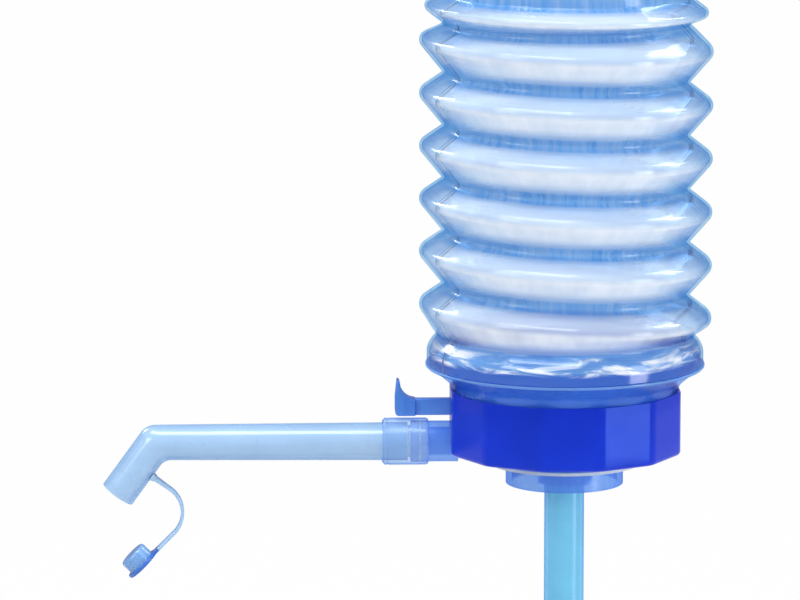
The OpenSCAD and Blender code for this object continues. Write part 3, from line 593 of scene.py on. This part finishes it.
def dome_face(wall):
    """One face of the dome, from the top groove to the middle of its dished top."""
    groove, rib_r, rib_round, rib_z = (GROOVE_R + GROOVE_ROUND, TOP_GROOVE_Z), *TOP_RIB
    shoulder = (DOME_R - DOME_ROUND, SHOULDER_Z)
    top_z = SHOULDER_Z + DOME_ROUND - wall
    face = chain(arc(groove, GROOVE_ROUND + wall, 180, 180 - TOP_LOW, 4),
                 arc((rib_r - rib_round, rib_z), rib_round - wall, -TOP_LOW, TOP_HIGH, 8),
                 arc((DOME_R + GROOVE_ROUND, NECK_Z), GROOVE_ROUND + wall, 180 + TOP_HIGH, 180, 4),
                 arc(shoulder, DOME_ROUND - wall, 0, 90, 14))
    start, span = DOME_R - DOME_ROUND, (DOME_R - DOME_ROUND) * 2 / 3
    for i in range(1, 9):
        t = i / 8
        face.append((start - span * t, top_z - DISH * t * t * (3 - 2 * t)))
    return face + [(0, top_z - DISH)]


def shell(face):
    """A closed wall between a face's outer line and its inner one."""
    return face(0) + face(WALL)[::-1]


def ramp(z, low, high):
    """0 below a height, 1 above another, smooth between them."""
    t = min(1, max(0, (z - low) / (high - low)))
    return t * t * (3 - 2 * t)


def folds_lean(z):
    """The ribs drop to the right, by most low down, and lie level where the folds end."""
    most = 0.047 - 0.007 * ramp(z, 80, 150)
    return most * ramp(z, GROOVE_Z, GROOVE_Z + 8) * (1 - ramp(z, TOP_GROOVE_Z - 8, TOP_GROOVE_Z))


def dome_lean(z):
    """The small rib under the dome leans as the folds do."""
    return 0.025 * ramp(z, TOP_GROOVE_Z, TOP_RIB[2]) * (1 - ramp(z, TOP_RIB[2], NECK_Z + 3))


skirt_outline = shell(bead_face) + [
    (RIM_R - WALL, RIM_TOP_Z + 4.1), (RIM_R - WALL - 0.3, RIM_TOP_Z + 3.5),
    (RIM_R - WALL - 0.3, RIM_TOP_Z), (RIM_R, RIM_TOP_Z)]
piece("bellows_foot", turned(soften(skirt_outline, 0.4)), "base", "bellows_plastic",
      ["bellows_skirt"], material=SKIRT_PLASTIC)
folds = piece("bellows_body", turned(shell(folds_face), lean=folds_lean), "base",
              "bellows_plastic", ["bellows_folds"])
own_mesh(folds)
piece("bellows_top_dome", turned(shell(dome_face), lean=dome_lean), "bellows_top",
      "bellows_plastic", ["bellows_dome"])


# ---------------------------------------------------------------- collar

# The spout's axis, and the vent bar's middle and section, which the collar's openings follow
OUTLET_Z = 8.5
VENT_Z, BAR_W, BAR_H = 22.35, 4.4, 6.4
FLAT_R, EDGE_R, SIDES, COLLAR_WALL = 44.7, 9.0, 12, 2.5
COLLAR_LOW_Z, DECK_Z, COLLAR_TOP_Z = 4.5, 27.5, 29.5
SEAT_R, STUB_SLOT_R, BAR_GAP = 44.2, 8.15, 0.2
CUT_X = (-49, -38)


def rounded_polygon(flat_r, edge_r):
    """Points of the collar's outline, more of them on its rounded edges than on its flats."""
    half = math.pi / SIDES
    centre = (flat_r - edge_r) / math.cos(half)
    points = []
    for k in range(SIDES):
        corner = (k + 0.5) * 2 * half
        for i in range(13):
            a = corner + half * (i / 6 - 1)
            points.append(Vector((centre * math.cos(corner) + edge_r * math.cos(a),
                                  centre * math.sin(corner) + edge_r * math.sin(a))))
        last = points[-1]
        start = (k + 1.5) * 2 * half
        after = Vector((centre * math.cos(start) + edge_r * math.cos(start - half),
                        centre * math.sin(start) + edge_r * math.sin(start - half)))
        points += [last.lerp(after, i / 8) for i in range(1, 8)]
    return points


def collar_sections():
    """The collar's wall at each point round it: rounded foot, flat top, the deck's seat."""
    edge, lip, chamfer = 1.6, 0.2, 0.06
    sections = []
    for outer, inner in zip(rounded_polygon(FLAT_R, EDGE_R),
                            rounded_polygon(FLAT_R - COLLAR_WALL, EDGE_R - COLLAR_WALL)):
        r_out, r_in = outer.length, inner.length
        line = arc((r_out - edge, COLLAR_LOW_Z + edge), edge, -90, 0, 6)
        line += straight(line[-1], (r_out, COLLAR_TOP_Z - lip), 4)
        line += [(r_out, COLLAR_TOP_Z - lip), (r_out - chamfer, COLLAR_TOP_Z - chamfer),
                 (r_out - lip, COLLAR_TOP_Z)]
        line += [(SEAT_R + 0.26, COLLAR_TOP_Z), (SEAT_R + 0.07, DECK_Z + 1), (SEAT_R, DECK_Z),
                 (r_in, DECK_Z),
                 (r_in, COLLAR_LOW_Z + 0.4), (r_in + 0.4, COLLAR_LOW_Z)]
        way = outer.normalized()
        sections.append([(way.x * r, way.y * r, z) for r, z in line])
    return skin(sections)


collar = piece("grip_collar", collar_sections(), "base", "deep_blue_plastic", ["collar"])
stub_slot = [(STUB_SLOT_R * math.cos(a), STUB_SLOT_R * math.sin(a) + OUTLET_Z)
             for a in (math.pi * i / 24 for i in range(25))]
stub_slot += [(-STUB_SLOT_R, 2), (STUB_SLOT_R, 2)]
cut(collar, skin([[(x, y, z) for y, z in stub_slot] for x in CUT_X], ring=False))
slot_w, slot_h = BAR_W / 2 + BAR_GAP, BAR_H / 2 + BAR_GAP
cut(collar, box_shape((CUT_X[0], -slot_w, VENT_Z - slot_h), (CUT_X[1], slot_w, VENT_Z + slot_h)))


# ---------------------------------------------------------------- spout

sleeve = soften([
    (8.08, 53.4), (8.7, 53.4), (9.2, 54.4), (9.2, 69.1), (8.85, 69.4), (9.2, 69.7), (9.2, 70.4),
    (8.2, 71.4), (7.5, 71.4), (7.5, 61.5), (6.2, 61.5), (6.2, 60.3), (8.08, 60.3)], 0.35)
piece("turning_sleeve", placed(turned(sleeve, 96), towards_spout(OUTLET_Z)), "spout",
      "sleeve_plastic", ["spout_coupling"])

ELBOW = Vector((-160, 0, OUTLET_Z))
BEND, LEG, TUBE_START = math.radians(54), 25.4, -61.5
SPOUT_R, BORE_R, ROOT_GAIN, AROUND = 6.95, 5.8, 0.5, 72
LEG_DOWN = Vector((-math.cos(BEND), 0, -math.sin(BEND)))
LEG_SIDE = Vector((math.sin(BEND), 0, -math.cos(BEND)))
KNEE_IN = (LEG_SIDE + Vector((0, 0, -1))).normalized()


def spout_point(place, radius, turn):
    """A point on the spout's skin: place runs from 0 to 1 along the run, to 2 round the knee and
    to 3 down the leg, and turn goes round from the side where the knee folds."""
    side, across = radius * math.cos(turn), radius * math.sin(turn)
    rounding = 6.2 - side / 7
    corner = ELBOW + KNEE_IN * (side / math.cos(BEND / 2))
    reach = rounding * math.tan(BEND / 2)
    if place <= 1:
        point = Vector((TUBE_START, 0, OUTLET_Z - side)).lerp(corner + Vector((reach, 0, 0)), place)
    elif place <= 2:
        a = BEND * (place - 1)
        centre = corner + KNEE_IN * (rounding / math.cos(BEND / 2))
        point = centre - rounding * Vector((math.sin(a), 0, -math.cos(a)))
    else:
        end = ELBOW + LEG_DOWN * LEG + LEG_SIDE * side
        point = (corner + LEG_DOWN * reach).lerp(end, place - 2)
    return point.x, across, point.z


def spout_ring(place, radius):
    """Points round the spout at a place along it."""
    return [spout_point(place, radius, 2 * math.pi * k / AROUND) for k in range(AROUND)]


def ring_at(centre, way, radius):
    """A circle of points across a direction in the XZ plane."""
    side = Vector((-way.z, 0, way.x))
    across = Vector((0, 1, 0))
    return [tuple(centre + (side * math.cos(a) + across * math.sin(a)) * radius)
            for a in (2 * math.pi * k / AROUND for k in range(AROUND))]


def spout_shape():
    """The tube's outer skin out to the mouth and its bore back, with rounded lips."""
    places = [i / 12 for i in range(12)] + [1 + i / 10 for i in range(10)]
    places += [2 + i / 6 for i in range(6)]
    sections = [spout_ring(p, SPOUT_R + ROOT_GAIN * (1 - min(1, p))) for p in places]
    mouth, way = ELBOW + LEG_DOWN * LEG, LEG_DOWN
    lips = ((0.35, SPOUT_R), (0.1, SPOUT_R - 0.1), (0, SPOUT_R - 0.35), (0, BORE_R + 0.3),
            (0.1, BORE_R + 0.08), (0.35, BORE_R))
    sections += [ring_at(mouth - way * back, way, radius) for back, radius in lips]
    return skin(sections + [spout_ring(p, BORE_R) for p in reversed(places)])


def bar_section(centre, thick_way, thickness, width, edge=0.4):
    """A rounded rectangle across a strap: thick along a direction in XZ, wide along Y."""
    outline = soften([(-thickness / 2, -width / 2), (thickness / 2, -width / 2),
                      (thickness / 2, width / 2), (-thickness / 2, width / 2)], edge, 3)
    return [tuple(centre + thick_way * a + Vector((0, b, 0))) for a, b in outline]


ROOT, STRAP_START, TURN_R, TURN, STRAP_END = 11.6, 7.0, 11.7, 99, 8.6
LUG_OUT = SPOUT_R + 1.4


def leg_point(side, up):
    """A point from the spout's corner: side across the leg towards the pump, up along it."""
    return ELBOW + LEG_SIDE * side - LEG_DOWN * up


# Across the leg, the lug's thickness and its width
LUG_STEPS = ((6.3, 3.2, 7.2), (6.9, 2.9, 6.8), (7.4, 2.3, 6.1), (8.2, 2.2, 6), (8.35, 2.0, 5.8))
lug = skin([bar_section(leg_point(side, -ROOT), LEG_DOWN, thick, wide, 0.5)
            for side, thick, wide in LUG_STEPS], ring=False)
piece("spout_pipe", joined(spout_shape(), lug), "spout", "frosted_plastic", ["spout_tube"])


def strap_line():
    """Centre points of the strap and the direction across its thickness, outer side first."""
    up = -LEG_DOWN
    stations = []
    for i in range(7):
        stations.append((leg_point(LUG_OUT + STRAP_START * i / 7, -ROOT), up))
    turn_x, turn_z = LUG_OUT + STRAP_START, -ROOT - TURN_R
    for i in range(29):
        a = math.radians(90 - TURN * i / 28)
        out = LEG_SIDE * math.cos(a) + up * math.sin(a)
        stations.append((leg_point(turn_x, turn_z) + out * TURN_R, out))
    last, out = stations[-1]
    a = math.radians(TURN)
    way = LEG_SIDE * math.cos(a) - up * math.sin(a)
    stations += [(last + way * STRAP_END * i / 7, out) for i in range(1, 8)]
    return stations, way


strap_stations, strap_way = strap_line()
strap_count = len(strap_stations) - 1
STRAP_T, STRAP_W = 1.3, 5.0
strap_sections = []
for i, (centre, out) in enumerate(strap_stations):
    thick = STRAP_T + 0.35 * (1 - ramp(i, 0, 7))
    width = STRAP_W - 0.7 * math.sin(math.pi * i / strap_count)
    strap_sections.append(bar_section(centre, out, thick, width))
strap = skin(strap_sections, ring=False)
strap_piece = piece("cap_strap", strap, "spout", "frosted_plastic", ["spout_strap"])
strap_piece.parent = None
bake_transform(strap_piece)

cap_out = strap_stations[-1][1]
CAP_R, CAP_GAP = 7.2, 1.6
cap_middle = strap_stations[-1][0] + strap_way * (CAP_GAP + CAP_R)
cap_frame = Matrix.Translation(cap_middle) @ Matrix(
    (strap_way, Vector((0, 1, 0)), strap_way.cross(Vector((0, 1, 0))))).transposed().to_4x4()
if (cap_frame.to_3x3() @ Vector((0, 0, 1))).dot(cap_out) < 0:
    cap_frame = cap_frame @ Matrix.Rotation(math.pi, 4, "X")
cap_outline = soften([(0, 0.7), (CAP_R, 0.7), (CAP_R, -0.7), (5.9, -0.7), (5.7, -0.9), (5.7, -5.2),
                      (5.2, -6.0), (0, -6.0)], 0.45)
tree = MATERIALS["cap_plastic"].node_tree
shader = next(n for n in tree.nodes if n.type == "BSDF_PRINCIPLED")
along = add(tree, "VectorMath", {"operation": "DOT_PRODUCT"},
            i0=add(tree, "TexCoord").outputs["Object"], i1=cap_out).outputs["Value"]
flange_face = cap_middle.dot(cap_out) - 0.7
flange = remap(tree, along, (flange_face - 0.4) * MM, flange_face * MM)
tree.links.new(blend_colours(tree, flange, shader.inputs["Base Color"].links[0].from_socket,
                             (0.03, 0.14, 0.56, 1)), shader.inputs["Base Color"])
tongue = skin([bar_section(strap_stations[-1][0] + strap_way * t, cap_out, STRAP_T, w)
               for t, w in ((0, STRAP_W), (1.2, 5.2), (3.2, 6.4))], ring=False)
piece("mouth_cap", joined(placed(turned(cap_outline, 96), cap_frame), tongue), "cap",
      "cap_plastic", ["spout_cap"])


# ---------------------------------------------------------------- vent

TAB_X, TAB_W, TAB_H = 66.4, 8.0, 7.7


def tab_outline():
    """The finger tab from the side: thick at the bar, hollow behind, thin at its tip."""
    low, high = VENT_Z - BAR_H / 2, VENT_Z + BAR_H / 2
    points = arc((-TAB_X + 1.6, low + 1.6), 1.6, 270, 180, 6)
    points += [(-TAB_X, high + 0.7), (0.7 - TAB_X, high + TAB_H), (1.7 - TAB_X, high + TAB_H - 0.5)]
    points += arc((8 - TAB_X, high + 6), 6, 180, 270, 10)
    return points + [(8 - TAB_X, low)]


def extruded(outline, half_width):
    """An outline in XZ drawn across Y."""
    return skin([[(x, y, z) for x, z in outline] for y in (-half_width, half_width)], ring=False)


shoulder = placed(turned(soften([(0, 29.5), (4.82, 29.5), (4.82, 31), (0, 31)], 0.2), 48),
                  towards_spout(VENT_Z))
bar_low, bar_high = VENT_Z - BAR_H / 2, VENT_Z + BAR_H / 2
bar_outline = soften([(-BAR_W / 2, bar_low), (BAR_W / 2, bar_low), (BAR_W / 2, bar_high),
                      (-BAR_W / 2, bar_high)], 0.5, 3)
bar = skin([[(x, *p) for p in bar_outline] for x in (-30, -53.8, -53.9, -56.1, -56.2, -63)],
           ring=False)
slider = piece("vent_tab", joined(shoulder, extruded(tab_outline(), TAB_W / 2), bar), "vent",
               "vent_plastic", ["vent_slider"])
bevel = slider.modifiers.new("edges", "BEVEL")
bevel.width, bevel.segments = 0.4 * MM, 3
bevel.limit_method, bevel.angle_limit = "ANGLE", math.radians(40)
settle(slider)


def coil(start, end, radius, wire, turns):
    """A spring of round wire along -X, its ends closed."""
    steps = int(turns * 28)
    sections = []
    for i in range(steps + 1):
        a = 2 * math.pi * turns * i / steps
        out = Vector((0, math.sin(a), math.cos(a)))
        centre = Vector((start + (end - start) * i / steps, 0, VENT_Z)) + out * radius
        along_x = Vector((1, 0, 0))
        sections.append([tuple(centre + (out * math.cos(b) + along_x * math.sin(b)) * wire)
                         for b in (2 * math.pi * k / 12 for k in range(12))])
    return skin(sections, ring=False)


SPRING_START, SPRING_END, SPRING_R, WIRE_R, COILS = -31.36, -41.84, 4.47, 0.35, 5
spring = piece("vent_coil", coil(SPRING_START, SPRING_END, SPRING_R, WIRE_R, COILS), "base",
               "spring_steel", ["vent_spring"])
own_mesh(spring)


# ---------------------------------------------------------------- floor

floor_material, tree, out = start_material("studio_floor")
speck = noise(tree, add(tree, "TexCoord").outputs["Object"], 3.0)
pale = blend_colours(tree, speck, (0.74, 0.75, 0.76, 1), (0.8, 0.8, 0.8, 1))
lit = add(tree, "BsdfDiffuse", Color=pale)
glow = add(tree, "Emission", Color=(1, 1, 1, 1), Strength=1.0)
shade = maths(tree, "MULTIPLY", seen_white(tree), 0.985)
surface = add(tree, "MixShader", i0=shade, i1=lit.outputs[0], i2=glow.outputs[0])
tree.links.new(surface.outputs[0], out.inputs[0])
floor_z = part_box("dip_tube_lower")[0].z - 0.0005
floor_points = [(12 * math.cos(a), 12 * math.sin(a), floor_z)
                for a in (2 * math.pi * k / 96 for k in range(96))]
floor_mesh = bpy.data.meshes.new("floor")
floor_mesh.from_pydata(floor_points, [], [tuple(range(96))])
floor_mesh.materials.append(floor_material)
floor = bpy.data.objects.new("floor", floor_mesh)
scene.collection.objects.link(floor)
